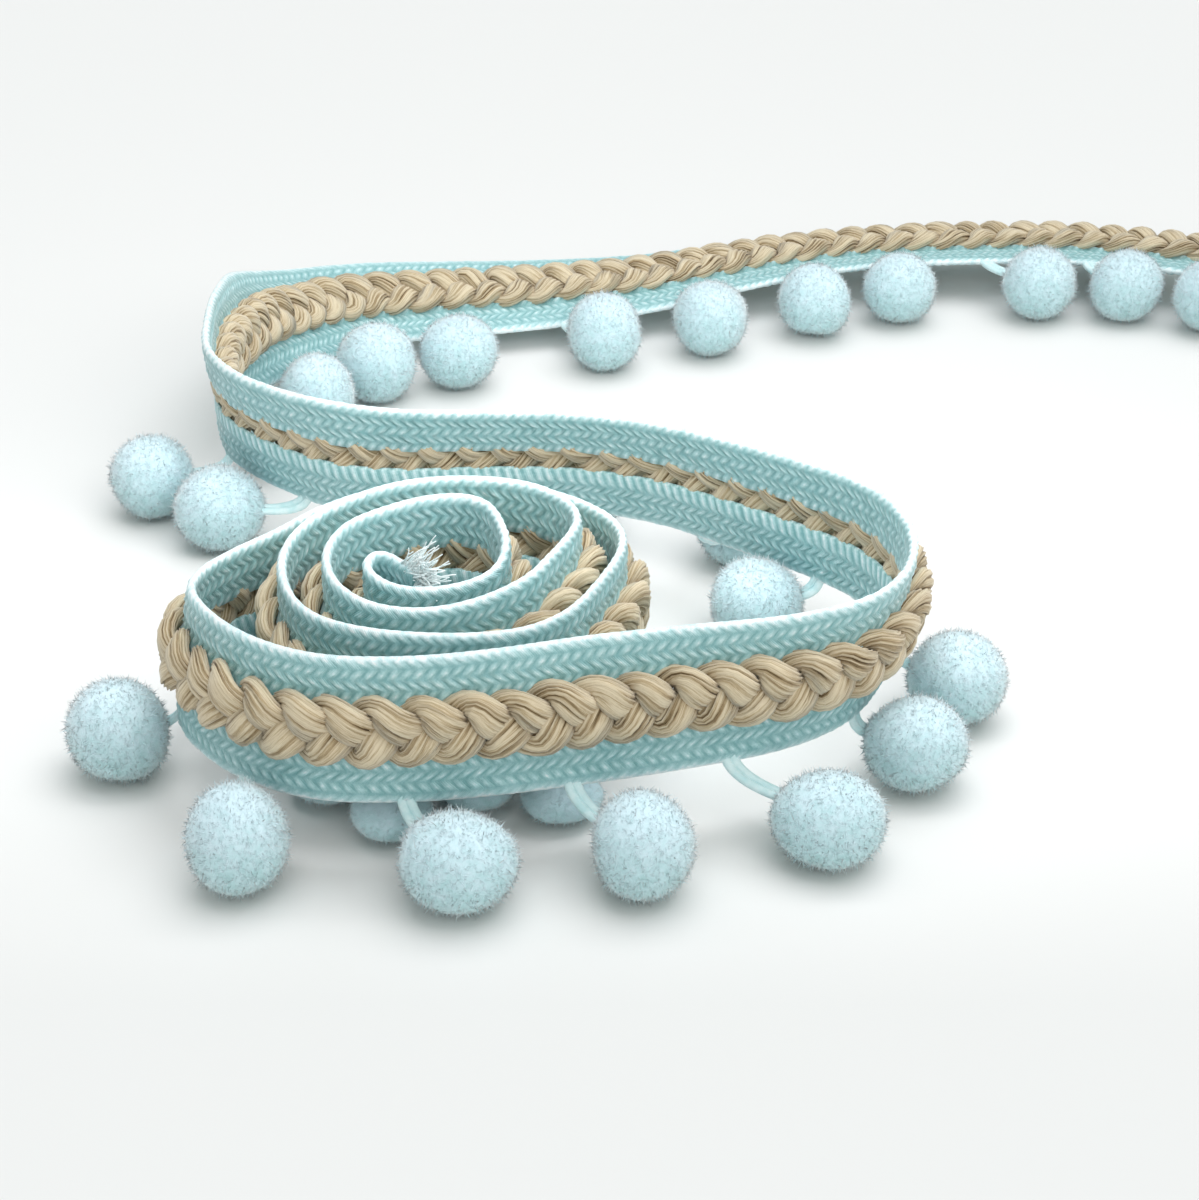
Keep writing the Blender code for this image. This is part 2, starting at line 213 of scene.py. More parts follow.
# %% The route
# x, y: mm from the middle of the roll. lift: mm. lean: degrees, its top towards the tapes' back.
ROUTE = (
    # name               x      y     lift  lean
    ("cut end",         -1.6,  -4.3,  7.5,   0),
    ("tail",            -3.0,  -2.9,  7.5,   0),
    ("tail bend",       -4.3,  -0.9,  7.5,   0),
    ("small fold",      -6.0,  -0.1,  7.5,   0),
    ("small fold side", -6.9,  -1.9,  7.5,   0),
    ("core left",       -6.3,  -4.6,  7.4,   0),
    ("core front left", -4.1,  -6.7,  7.0,   0),
    ("core front",      -0.6,  -7.3,  6.8,   0),
    ("core front right", 3.4,  -6.4,  7.0,   0),
    ("core corner",      6.6,  -4.4,  7.6,   0),
    ("core right",       7.6,  -1.2,  9.0,   0),
    ("core right back",  6.7,   2.8,  9.6,   0),
    ("tight bend",       5.2,   6.6,  9.8,   0),
    ("tight bend side",  2.4,   7.9,  9.8,   0),
    ("inner back",      -1.2,   7.3,  9.8,   0),
    ("inner back left", -5.6,   5.0,  9.6,   0),
    ("inner left back", -9.2,   1.9,  9.4,   0),
    ("inner left",     -10.8,  -2.8,  8.8,   0),
    ("inner left front", -9.4, -7.9,  8.0,   0),
    ("inner front left", -5.8, -11.2, 7.4,   0),
    ("inner front",     -0.6, -12.2,  7.2,   0),
    ("inner front right", 4.6, -11.0, 7.6,   0),
    ("inner right front", 9.8, -7.9,  8.6,   0),
    ("inner right",     12.2,  -3.5,  9.0,   0),
    ("middle right front", 14.4, 1.6, 9.2,   0),
    ("middle right",    14.7,   5.6,  9.0,   0),
    ("middle right back", 13.2, 9.0,  9.0,   0),
    ("middle back right", 9.4, 12.2,  9.0,   0),
    ("middle back",      2.6,  13.6,  9.0,   0),
    ("middle back left", -4.2, 12.3,  9.0,   0),
    ("middle left back", -10.0, 8.4,  8.8,   0),
    ("middle left upper", -14.0, 3.6, 8.3,   0),
    ("middle left",    -15.4,  -1.2,  7.8,   0),
    ("middle left front", -14.6, -6.8, 7.2,  0),
    ("outer front left", -11.8, -12.0, 6.9,  0),
    ("outer front side", -6.9, -15.3, 7.0,   0),
    ("outer front",     -0.8, -16.8,  7.1,   0),
    ("outer front middle", 4.8, -16.2, 6.7,  0),
    ("outer front right", 9.8, -14.3, 6.3,   0),
    ("outer right front", 13.8, -10.6, 6.2,  0),
    ("outer right side", 16.8, -4.6,  6.2,   0),
    ("outer right",     19.4,   3.6,  6.2,   0),
    ("outer right back", 18.9,  8.8,  6.0,   0),
    ("outer back right", 15.4, 14.0,  5.8,   0),
    ("outer back side",  9.0,  18.0,  5.8,   0),
    ("outer back",       1.0,  18.9,  5.8,   0),
    ("outer back middle", -6.8, 17.2, 5.8,   0),
    ("outer back left", -13.2, 12.8,  5.8,   2),
    ("roll to loop",   -17.6,   7.6,  5.8,   4),
    ("loop back",      -21.0,   3.6,  6.2,   6),
    ("loop side",      -24.2,  -0.6,  6.4,   8),
    ("loop left",      -25.4,  -5.4,  6.7,   8),
    ("loop front",     -23.6, -10.4,  6.8,   8),
    ("front left",     -18.2, -17.2,  7.0,   7),
    ("front side",     -10.8, -21.2,  7.0,   5),
    ("front",           -2.0, -21.8,  7.0,   4),
    ("front middle",     7.0, -20.4,  7.0,   5),
    ("front dip",       16.0, -18.0,  7.0,   7),
    ("front rise",      26.0, -15.6,  7.0,   4),
    ("front right",     36.0, -12.8,  7.0,  -2),
    ("right bend start", 43.0, -8.4,  7.0,  -8),
    ("right bend front", 46.8, -2.6,  7.0, -11),
    ("right bend",      48.7,   4.0,  7.0,  -8),
    ("right bend back", 48.6,  10.4,  7.0,  -1),
    ("right bend end",  45.8,  17.2,  7.0,   5),
    ("crossing start",  39.6,  23.4,  7.0,   9),
    ("crossing right",  31.4,  29.6,  7.0,  12),
    ("crossing turn",   23.1,  35.0,  7.0,  16),
    ("crossing",        14.0,  38.0,  7.0,  18),
    ("crossing middle",  4.0,  38.4,  7.0,  18),
    ("crossing left",   -6.0,  37.6,  7.0,  14),
    ("crossing end",   -13.6,  38.8,  7.0,  10),
    ("left bend start", -20.2, 43.1,  7.0,  12),
    ("left bend front", -25.6, 48.2,  7.0,  12),
    ("left bend side", -29.3,  54.2,  7.0,   8),
    ("left bend",      -30.6,  61.4,  7.0,   4),
    ("left bend back", -30.9,  69.0,  6.5,   5),
    ("falls over",     -29.8,  77.0,  5.5,  14),
    ("half over",      -27.6,  86.4,  4.5,  31),
    ("left bend end",  -23.4,  96.0,  3.5,  50),
    ("far left",       -16.3, 104.6,  3.0,  64),
    ("far start",       -6.0, 108.3,  3.0,  70),
    ("far",              5.2, 111.0,  3.0,  74),
    ("far middle",      14.7, 113.6,  3.3,  78),
    ("far turn",        24.1, 117.0,  3.8,  83),
    ("far slope",       33.7, 121.4,  4.5,  88),
    ("far slope end",   44.4, 126.0,  5.0,  92),
    ("far crest",       57.0, 128.9,  5.5,  94),
    ("far right",       71.8, 129.8,  5.8,  94),
    ("far right side",  87.9, 129.4,  5.8,  94),
    ("far end",        108.0, 124.0,  5.8,  94),
)
BOX_MIDDLE = (33.5, 51.4)  # mm, from the middle of the roll to the frame's origin
WIDTH = 16.0               # mm, both tapes and the gap between them
TRACK_STEP = 0.5           # mm


def spline(rows, cuts):
    """Catmull-Rom curve through the rows, spaced by the square root of their distances."""
    rows = np.vstack([2 * rows[0] - rows[1], rows, 2 * rows[-1] - rows[-2]])
    knots = [0.0]
    for before, after in zip(rows, rows[1:]):
        knots.append(knots[-1] + math.dist(before[:2], after[:2]) ** 0.5)
    points = []
    for i in range(1, len(rows) - 2):
        t0, t1, t2, t3 = knots[i - 1:i + 3]
        p0, p1, p2, p3 = rows[i - 1:i + 3]
        for t in np.linspace(t1, t2, cuts, endpoint=False):
            a1 = ((t1 - t) * p0 + (t - t0) * p1) / (t1 - t0)
            a2 = ((t2 - t) * p1 + (t - t1) * p2) / (t2 - t1)
            a3 = ((t3 - t) * p2 + (t - t2) * p3) / (t3 - t2)
            b1 = ((t2 - t) * a1 + (t - t0) * a2) / (t2 - t0)
            b2 = ((t3 - t) * a2 + (t - t1) * a3) / (t3 - t1)
            points.append(((t2 - t) * b1 + (t - t1) * b2) / (t2 - t1))
    points.append(rows[-2])
    return np.array(points)


def even(points, step):
    """The same curve with its points evenly spaced along x and y."""
    lengths = np.hypot(*np.diff(points[:, :2], axis=0).T)
    along = np.concatenate([[0.0], np.cumsum(lengths)])
    marks = np.linspace(0.0, along[-1], round(along[-1] / step) + 1)
    return marks, np.stack([np.interp(marks, along, column) for column in points.T], axis=1)


def make_track():
    """Distance along the trim, and x, y, lift and lean at each of those distances."""
    rows = np.array([row[1:] for row in ROUTE], dtype=float)
    points = even(spline(rows, cuts=12), 2 * TRACK_STEP)[1]
    for _ in range(4):
        points[1:-1] = points[1:-1] / 2 + (points[:-2] + points[2:]) / 4
    return even(points, TRACK_STEP)


ALONG, TRACK = make_track()
LENGTH = ALONG[-1]


def laid(along, across, out_by):
    """Metres in the frame, from mm along the trim, up from its lower edge and out of its face."""
    inside = np.clip(along, 0.0, LENGTH)
    x, y, lift, lean = (np.interp(inside, ALONG, column) for column in TRACK.T)
    ahead, back = (
        np.stack([np.interp(inside + shift, ALONG, TRACK[:, axis]) for axis in (0, 1)])
        for shift in (TRACK_STEP, -TRACK_STEP)
    )
    heading = (ahead - back) / np.hypot(*(ahead - back))
    lean = np.radians(lean)
    level = -np.sin(lean) * (across - WIDTH / 2) + np.cos(lean) * out_by
    height = np.cos(lean) * (across - WIDTH / 2) + np.sin(lean) * out_by
    past = along - inside
    return MM * np.stack([
        x + heading[0] * past + heading[1] * level - BOX_MIDDLE[0],
        y + heading[1] * past - heading[0] * level - BOX_MIDDLE[1],
        lift + WIDTH / 2 * np.cos(lean) + height,
    ], axis=-1)


print("trim:", round(LENGTH), "mm long")

# %% [markdown]
# ## One tool for every yarn: a grid rolled into a sleeve
#
# A tape, a strand and a tail are all long closed skins. Blender's grid operator makes a sheet of
# faces with a UV map, and a function then says where each row and column of it goes. The last column
# lands on the first and is welded, and the two open ends are filled. Because the rows can be bent to
# follow the stitches, deep stitches need few faces. Each point also keeps how high on its stitch it
# lies, from 0 in the crease to 1 on the crest. The materials read that as painted light, painted shade
# in the creases and a painted highlight on the crests, and an edge along a crease is marked sharp,
# which keeps the line between two stitches crisp.

# %% The sleeve
WELD = 0.0001  # mm, how near two points are made one


def sleeve(bm, rings, sides, shape, crest, material_index=0):
    """Adds a closed tube whose ring i and side j lie where shape(i, j) says, in metres."""
    height = bm.verts.layers.float.get("crest") or bm.verts.layers.float.new("crest")
    bm.loops.layers.uv.verify()
    grid = bmesh.ops.create_grid(bm, x_segments=rings, y_segments=sides, size=1.0, calc_uvs=True)["verts"]
    flat = np.array([vertex.co[:2] for vertex in grid])
    ring = np.rint((flat[:, 0] + 1) / 2 * rings).astype(int)
    side = np.rint((flat[:, 1] + 1) / 2 * sides).astype(int)
    for vertex, spot, high in zip(grid, shape(ring, side % sides), crest(ring, side % sides)):
        vertex.co = spot
        vertex[height] = high
    faces = {face for vertex in grid for face in vertex.link_faces}
    for face in faces:
        face.smooth = True
        face.material_index = material_index
    weld = [vertex for vertex, number in zip(grid, side) if number in (0, sides)]
    bmesh.ops.remove_doubles(bm, verts=weld, dist=WELD * MM)
    edges = {edge for face in faces for edge in face.edges}
    caps = bmesh.ops.holes_fill(bm, edges=[edge for edge in edges if edge.is_boundary], sides=0)["faces"]
    for face in caps:
        face.material_index = material_index
    bmesh.ops.recalc_face_normals(bm, faces=[*faces, *caps])
    for edge in edges:
        edge.smooth = edge.verts[0][height] + edge.verts[1][height] > 0.0


def no_creases(ring, side):
    return np.ones(ring.shape)


def add_piece(name, bm, *materials):
    """Turns a bmesh in the frame's place into an object that rides with the trim."""
    mesh = bpy.data.meshes.new(name)
    bm.to_mesh(mesh)
    bm.free()
    for material in materials:
        mesh.materials.append(material)
    made = bpy.data.objects.new(name, mesh)
    bpy.context.scene.collection.objects.link(made)
    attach(made, "root")
    mesh.calc_loop_triangles()
    print(name, "has", len(mesh.loop_triangles), "triangles")
    return made


# %% [markdown]
# ## Finish of the braids: satin polyester yarn
#
# The braids are plaited from filament polyester, which is smooth and shines on the crest of each
# stitch, so the roughness is moderate. The crests are also painted paler, a painted highlight, and down
# between the stitches, where light only comes through yarn, the colour is painted darker and greener as
# painted shade. The UV map runs along the trim in whole stitches, so it also places the filaments that
# lie along each one. Real ones are far thinner, too thin to show from a step away, so they are drawn
# coarser.

# %% Satin yarn
STITCH_LENGTH = 1.2  # mm along the tape
EDGE_HIGHLIGHT = 1.15     # painted highlight on the selvedge, paler than any stitch
TAPE_STITCHES = round(LENGTH / STITCH_LENGTH)
FILAMENTS = 5  # drawn on one stitch


def add_tone(tree, where, scale, amount, palest=1.0):
    """A value from 0 in a crease to 1 on a crest, with some wandering from place to place."""
    crest = add_node(tree, "ShaderNodeAttribute", {"attribute_name": "crest"})
    cloud = add_node(tree, "ShaderNodeTexNoise", links={"Vector": where},
                     values={"Scale": scale, "Detail": 4.0, "Roughness": 0.8})
    spread = add_node(tree, "ShaderNodeMapRange", links={"Value": cloud.outputs["Fac"]},
                      values={"From Min": 0.3, "From Max": 0.7, "To Min": -amount, "To Max": amount})
    height = add_node(tree, "ShaderNodeMapRange", links={"Value": crest.outputs["Fac"]},
                      values={"From Max": palest})
    return add_node(tree, "ShaderNodeMath", {"operation": "ADD", "use_clamp": True},
                    links={0: height.outputs["Result"], 1: spread.outputs["Result"]})


def satin_braid():
    made, tree, shader = start_material("satin_polyester_braid", Roughness=0.4, IOR=1.5)
    shader.inputs["Sheen Weight"].default_value = 0.25
    shader.inputs["Sheen Roughness"].default_value = 0.4
    where = add_node(tree, "ShaderNodeTexCoord")
    # Painted light: the colour runs from painted shade in the creases to a painted highlight on the crests
    # and, palest, on the selvedge.
    tone = add_tone(tree, where.outputs["Object"], scale=900.0, amount=0.26, palest=EDGE_HIGHLIGHT)
    colour = add_node(tree, "ShaderNodeValToRGB", links={"Fac": tone.outputs[0]})
    colour_steps(colour, (0.0, "#7DB0B3"), (0.35, "#9CC7CA"), (0.65, "#B8DBDE"), (0.85, "#CFE7EB"),
                 (1.0, "#EAF5F7"))
    tree.links.new(colour.outputs["Color"], shader.inputs["Base Color"])
    place = add_node(tree, "ShaderNodeUVMap")
    parts = add_node(tree, "ShaderNodeSeparateXYZ", links={"Vector": place.outputs["UV"]})
    filament = add_node(tree, "ShaderNodeMath", {"operation": "MULTIPLY"}, links={0: parts.outputs["X"]},
                        values={1: 2 * math.pi * FILAMENTS * TAPE_STITCHES})
    ridge = add_node(tree, "ShaderNodeMath", {"operation": "SINE"}, links={0: filament.outputs[0]})
    bump = add_node(tree, "ShaderNodeBump", links={"Height": ridge.outputs[0]},
                    values={"Strength": 0.35, "Distance": 0.04 * MM})
    tree.links.new(bump.outputs["Normal"], shader.inputs["Normal"])
    return made


satin = satin_braid()
print("satin:", TAPE_STITCHES, "stitches along")

# %% [markdown]
# ## The two braided tapes
#
# Each tape is a flat braid. Its stitches slope up in one column and down in the next, on both faces,
# so that every two columns make a row of chevrons, and they turn over at the rounded edge. It could
# be a flat strip with a bump map, but then its edge, which is what shows most where it stands on end,
# would be straight. So every stitch is in the mesh: four rings to a stitch, bent along its slope, and
# points across that dip where two columns meet. Neighbouring columns are half a stitch apart, as the
# end of each stitch dives in between two of the next column.

# %% Section of a braided tape
TAPE_WIDTH = {"upper": 6.0, "lower": 6.1}   # mm
SECTION_WIDTH = 6.0                         # mm, of the section below, before it is fitted to a tape
UNDER_PLAIT = {"upper": 0.4, "lower": 1.0}  # mm, how far each runs on under the plait
COLUMN = 1.2                                # mm, the width of one column of stitches
SLOPE = 1.1                                 # mm, how far a stitch runs ahead across its column
RINGS_PER_STITCH = 4
CORE = 0.35                          # mm, half the thickness down in a crease
RELIEF = 0.27                        # mm, how far a stitch stands out of it
RING_HEIGHT = (0.0, 0.8, 1.0, 0.75)  # of the relief, over the rings of one stitch
RING_PAINTED_LIGHT = (0.0, 0.6, 1.0, 0.5)     # painted shade to painted highlight, over the rings of one stitch
BETWEEN_COLUMNS = 0.38               # of the relief, where two columns meet
STRAIGHTENED = 2                     # stitches at each cut end, so that the cut is straight
RELIEF_AT_EDGE = 0.25                # of the relief, what is left of it by an edge
EDGE_WAVE = 0.04                     # mm, how much the very edge goes in and out with the stitches
WAVE_LEVEL = 0.7                     # of the relief, where it goes neither in nor out
EDGE_DIP_SHADE = 0.1                      # painted shade: how much darker the edge is between two stitches
EDGE_ROUND = 0.5                     # mm, how far in from an edge the tape gets thinner
UNEVEN_HEIGHT = 0.16                 # of the relief, from stitch to stitch
UNEVEN_ALONG = 0.05                  # mm
UNEVEN_ACROSS = 0.03                 # mm
SEWN_UP = 0.5                        # mm, how far the sewing draws the tape up to the plait
SEWN_POINT = 5.4                     # mm in from the free edge, under the plait
FRONT_POINTS = (0.25, 0.6, 1.2, 1.8, 2.4, 3.0, 3.6, 4.2, 4.8, SEWN_POINT)
BACK_POINTS = (5.75, 5.4, 4.8, 4.2, 3.6, 3.0, 2.4, 1.8, 1.2, 0.6, 0.25)

section_in = np.array([0.0, *FRONT_POINTS, SECTION_WIDTH, *BACK_POINTS])   # mm in from the free edge
section_face = np.array([0] + [1] * len(FRONT_POINTS) + [0] + [-1] * len(BACK_POINTS))
in_columns = section_in / COLUMN
section_column = np.floor(in_columns + 0.001).astype(int)     # a hair over, against rounding
section_meets = np.isclose(in_columns, np.rint(in_columns)) & (section_face != 0)   # two columns meet
print("section:", len(section_in), "points,", round(SECTION_WIDTH / COLUMN), "columns on each face")

# %% [markdown]
# Where a point goes follows from its stitch, from how far up that stitch its ring is, and from its
# place on the section. Random marks, one for each stitch of a column, keep the braid from looking
# stamped.

# %% Braided tapes

def stitch_step(ring, side):
    """Which ring of its stitch a point is on, 0 in the crease."""
    return (ring + 2 * section_column[side]) % RINGS_PER_STITCH


def tape_shape(kind, seed):
    """Where ring and side of the upper or lower tape lie."""
    width = TAPE_WIDTH[kind]
    rng = np.random.default_rng(seed)
    lively = rng.normal(0.0, 1.0, (3, TAPE_STITCHES + 2, len(section_in)))

    def shape(ring, side):
        stitch = ring // RINGS_PER_STITCH
        column = section_column[side]
        inward = section_in[side] * width / SECTION_WIDTH
        face = section_face[side]
        to_edge = np.minimum(inward, width - inward)
        height = RELIEF * np.take(RING_HEIGHT, stitch_step(ring, side))
        height = height * (1.0 + UNEVEN_HEIGHT * lively[0, stitch, column])
        height = np.where(section_meets[side], RELIEF * BETWEEN_COLUMNS, height)
        core = CORE * np.sqrt(np.clip(to_edge / EDGE_ROUND, 0.0, 1.0))
        out_by = face * (core + height * np.clip(to_edge, RELIEF_AT_EDGE, 1.0))
        out_by = out_by + SEWN_UP * (section_in[side] == SEWN_POINT) * (face > 0)
        ahead = SLOPE * (1.0 - np.abs(in_columns[side] % 2.0 - 1.0))
        ahead = ahead + UNEVEN_ALONG * lively[1, stitch, column]
        wave = EDGE_WAVE * (np.take(RING_HEIGHT, stitch_step(ring, side)) - WAVE_LEVEL)
        inward = inward - np.where(face == 0, np.sign(SECTION_WIDTH / 2 - inward) * wave, 0.0)
        inward = inward + UNDER_PLAIT[kind] * (section_in[side] > SEWN_POINT)
        inward = inward + UNEVEN_ACROSS * lively[2, stitch, side] * (face != 0)
        across = WIDTH - inward if kind == "upper" else inward
        to_end = np.minimum(ring, TAPE_STITCHES * RINGS_PER_STITCH - ring) / RINGS_PER_STITCH
        slant = (ahead - SLOPE / 2) * np.clip(to_end / STRAIGHTENED, 0.0, 1.0)
        return laid(ring / RINGS_PER_STITCH * LENGTH / TAPE_STITCHES + slant, across, out_by)

    return shape


def tape_crest(ring, side):
    """Painted shade and highlight for each point: darkest in a crease, brightest along the edge, where the
    yarn turns over and faces the light from above.
    """
    tone = np.take(RING_PAINTED_LIGHT, stitch_step(ring, side))
    # Where two columns meet is painted darker, as shade; the points just in from the edge get half of the
    # edge's painted highlight.
    tone = np.where(section_meets[side], BETWEEN_COLUMNS / 2, tone)
    tone = np.where(section_in[side] == FRONT_POINTS[1], (1.0 + tone) / 2, tone)
    return np.where(section_in[side] <= FRONT_POINTS[0], EDGE_HIGHLIGHT - EDGE_DIP_SHADE * (1.0 - tone), tone)


bm = bmesh.new()
for kind, seed in (("upper", 11), ("lower", 12)):
    sleeve(bm, TAPE_STITCHES * RINGS_PER_STITCH, len(section_in), tape_shape(kind, seed), tape_crest)
tapes = add_piece("braided_tapes", bm, satin)
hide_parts("tape_upper", "tape_lower")

# %% [markdown]
# ## Finish of the plait: undyed cotton
#
# The strands are bundles of soft spun cotton, matt and a little hairy, warm beige on top, with painted
# shade in brown deep between the plies. The UV map runs once round each strand and along it, so a noise
# that is stretched along it draws streaks of fibre, in colour and in relief, as loosely spun cotton has.

# %% Natural cotton
PLIES = 17       # round one strand
FIBRES = 70      # streaks of fibre round one strand
FIBRE_RUN = 2.5  # mm along the strand
STRAND_RINGS = round(LENGTH / 0.5)


def cotton():
    made, tree, shader = start_material("undyed_spun_cotton", Roughness=0.9)
    shader.inputs["Sheen Weight"].default_value = 0.3
    shader.inputs["Specular IOR Level"].default_value = 0.25
    place = add_node(tree, "ShaderNodeUVMap")
    streaks = add_node(tree, "ShaderNodeMapping", links={"Vector": place.outputs["UV"]},
                       values={"Scale": (LENGTH / FIBRE_RUN, FIBRES, 1.0)})
    tone = add_tone(tree, streaks.outputs["Vector"], scale=1.0, amount=0.5)
    colour = add_node(tree, "ShaderNodeValToRGB", links={"Fac": tone.outputs[0]})
    # The dark brown end is painted shade in the creases between the plies; the real streaks of fibre reach
    # it too.
    colour_steps(colour, (0.0, "#4F3D25"), (0.22, "#8A7453"), (0.6, "#B9A482"), (1.0, "#DCCDB1"))
    tree.links.new(colour.outputs["Color"], shader.inputs["Base Color"])
    fibre = add_node(tree, "ShaderNodeTexNoise", links={"Vector": streaks.outputs["Vector"]},
                     values={"Scale": 1.6, "Detail": 3.0, "Roughness": 0.7})
    bump = add_node(tree, "ShaderNodeBump", links={"Height": fibre.outputs["Fac"]},
                    values={"Strength": 0.7, "Distance": 0.14 * MM})
    tree.links.new(bump.outputs["Normal"], shader.inputs["Normal"])
    return made


natural = cotton()
print("cotton:", PLIES, "plies round a strand")

# %% [markdown]
# ## The plait
#
# In a three-strand plait every strand swings from rim to rim, a third of a turn behind the one before,
# and each time it comes in from a rim it goes over the top. A sine across and a sine of twice the pace
# up and down is just that path. Each strand is its own sleeve with a fluted, flattened section, one
# flute for each ply. The strands cross for real, so the dark places between them are real too.

# %% Plait strands
STITCH = 4.2              # mm, one strand to the next in the same row
STRAND_TURN = 3 * STITCH  # mm, the way of one strand from rim to rim and back
PLAIT_MIDDLE = 8.5        # mm up from the lower edge
SWING = 2.5               # mm, of a strand's middle, to either side
STRAIGHT = 0.09           # how much of the swing is made straight from rim to rim
PLAIT_LEVEL = 1.2         # mm out of the tapes' middle
BOB = 0.84                # mm, over and under
LEADS = 0.2               # mm, how much further out a strand is on its way down
STRAND_HALF_WIDTH = 1.54
STRAND_HALF_THICK = 0.9
SWELL = 0.14                        # how much fuller a strand is where it lies on top
PINCH = 0.16                        # how much narrower it is where it turns at a rim
FLUTE = 0.14                        # of the section, how deep it is cut in between two plies
PLY_TWIST = 0.11                    # radians a mm
BOXY_WIDTH, BOXY_HEIGHT = 0.9, 0.8  # powers that make the oval of the section a little square
UNEVEN_PACE = 0.1                   # radians of a strand's turn, ahead or behind
UNEVEN_SWING = 0.05                 # of its swing
UNEVEN_GIRTH = 0.04                 # of its section
UNEVEN_ROLL = 0.2                   # radians, about its own middle
UNEVEN_PLIES = 0.3                  # of the way from a ply's crest to the crease beside it
UNEVEN_FLUTE = 0.7                  # of a crease's depth
UNEVEN_CREST = 0.03                 # of the section, how far a ply stands in or out
# Painted shade in the creases between the plies: how pale a crease is, against 1 on a crest.
CREASE_SHADE = 0.5
DEEP_CREASE_SHADE = 0.35  # painted shade: how much darker a deep crease is


def plait_strand(phase, seed):
    """Where ring and side of a strand lie, and how pale they are: two functions for a sleeve."""
    rng = np.random.default_rng(seed)
    halves = int(LENGTH / STITCH * 2) + 3
    marks = rng.normal(0.0, 1.0, (4, halves))
    ply_marks = rng.normal(0.0, 1.0, (2, halves, 2 * PLIES))

    def wander(ring, table, *side):
        """What a table of random marks, one row each half stitch, says at a ring in between them."""
        place = ring / STRAND_RINGS * LENGTH / (STITCH / 2)
        first = place.astype(int)
        share = place - first
        before, after = (table[(slice(None), first + step, *side)] for step in (0, 1))
        return before * (1 - share) + after * share

    def shape(ring, side):
        along = ring / STRAND_RINGS * LENGTH
        hurry, reach, girth, turned = wander(ring, marks)
        depth, sway = wander(ring, ply_marks, side)
        turn = 2 * np.pi * along / STRAND_TURN + phase + UNEVEN_PACE * hurry
        swing = SWING * (1.0 + UNEVEN_SWING * reach)
        pace = 2 * np.pi / STRAND_TURN
        across = swing * (np.sin(turn) - STRAIGHT * np.sin(3 * turn)) / (1 + STRAIGHT)
        bob = -BOB * np.sin(2 * turn) - LEADS * np.cos(turn)
        slope = swing * pace * (np.cos(turn) - 3 * STRAIGHT * np.cos(3 * turn)) / (1 + STRAIGHT)
        ahead = np.stack([np.ones_like(turn), slope, -2 * BOB * pace * np.cos(2 * turn)], axis=-1)
        ahead /= np.linalg.norm(ahead, axis=-1, keepdims=True)
        sideways = np.cross(ahead, (0.0, 0.0, 1.0))
        sideways /= np.linalg.norm(sideways, axis=-1, keepdims=True)
        upward = np.cross(sideways, ahead)
        angle = np.pi * (side + UNEVEN_PLIES * sway) / PLIES + PLY_TWIST * along + UNEVEN_ROLL * turned
        crease = FLUTE * np.clip(1.0 + UNEVEN_FLUTE * depth, 0.0, 2.0)
        cut = 1.0 - np.where(side % 2 == 0, crease, UNEVEN_CREST * depth)
        full = (1.0 + UNEVEN_GIRTH * girth) * (1.0 - SWELL * np.sin(2 * turn)) * cut
        wide = STRAND_HALF_WIDTH * full * (1.0 + PINCH * np.cos(2 * turn))
        wide = wide * np.sign(np.cos(angle)) * np.abs(np.cos(angle)) ** BOXY_WIDTH
        tall = STRAND_HALF_THICK * full * np.sign(np.sin(angle)) * np.abs(np.sin(angle)) ** BOXY_HEIGHT
        offset = sideways * wide[:, None] + upward * tall[:, None]
        return laid(along + offset[:, 0], PLAIT_MIDDLE + across + offset[:, 1],
                    PLAIT_LEVEL + bob + offset[:, 2])

    def crest(ring, side):
        depth = wander(ring, ply_marks, side)[0]
        # Painted shade: the creases between the plies are darker, deep ones darker still, and the crests
        # stay palest.
        return np.where(side % 2 == 0, CREASE_SHADE - DEEP_CREASE_SHADE * np.clip(depth, -1.0, 1.4), 1.0)

    return shape, crest


for number in range(3):
    bm = bmesh.new()
    shape, crest = plait_strand(phase=2 * np.pi * number / 3, seed=21 + number)
    sleeve(bm, STRAND_RINGS, 2 * PLIES, shape, crest)
    add_piece(f"plait_strand_{number + 1}", bm, natural)
    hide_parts("plait")

# %% [markdown]
# ## Finish of the pompoms: cut acrylic pile
#
# A pompom is thousands of cut yarn ends, fluffed until no single yarn shows. It has no gloss, it
# lights up at its rim, and its colour wanders a little from tuft to tuft. A painted highlight makes it
# palest on top and at the tips of its fibres, where light gets in from all sides, and painted shade makes
# it greener down by the table.

# %% Pile and tail yarn
def pile():
    made, tree, shader = start_material("cut_acrylic_pile", Roughness=0.95)
    shader.inputs["Sheen Weight"].default_value = 0.9
    shader.inputs["Sheen Roughness"].default_value = 0.5
    shader.inputs["Specular IOR Level"].default_value = 0.15
    where = add_node(tree, "ShaderNodeTexCoord")
    # Painted light: painted shade low on the ball and a painted highlight higher up and at the fibre tips,
    # with real wandering from tuft to tuft.
    depth = add_tone(tree, where.outputs["Object"], scale=700.0, amount=0.3)
    tone = add_node(tree, "ShaderNodeValToRGB", links={"Fac": depth.outputs[0]})
    colour_steps(tone, (0.0, "#9CC9CB"), (0.5, "#BDDEE4"), (1.0, "#D4EBF4"))
    tree.links.new(tone.outputs["Color"], shader.inputs["Base Color"])
    lumps = add_node(tree, "ShaderNodeTexNoise", links={"Vector": where.outputs["Object"]},
                     values={"Scale": 1900.0, "Detail": 4.0, "Roughness": 0.7})
    bump = add_node(tree, "ShaderNodeBump", links={"Height": lumps.outputs["Fac"]},
                    values={"Strength": 0.35, "Distance": 0.15 * MM})
    tree.links.new(bump.outputs["Normal"], shader.inputs["Normal"])
    return made


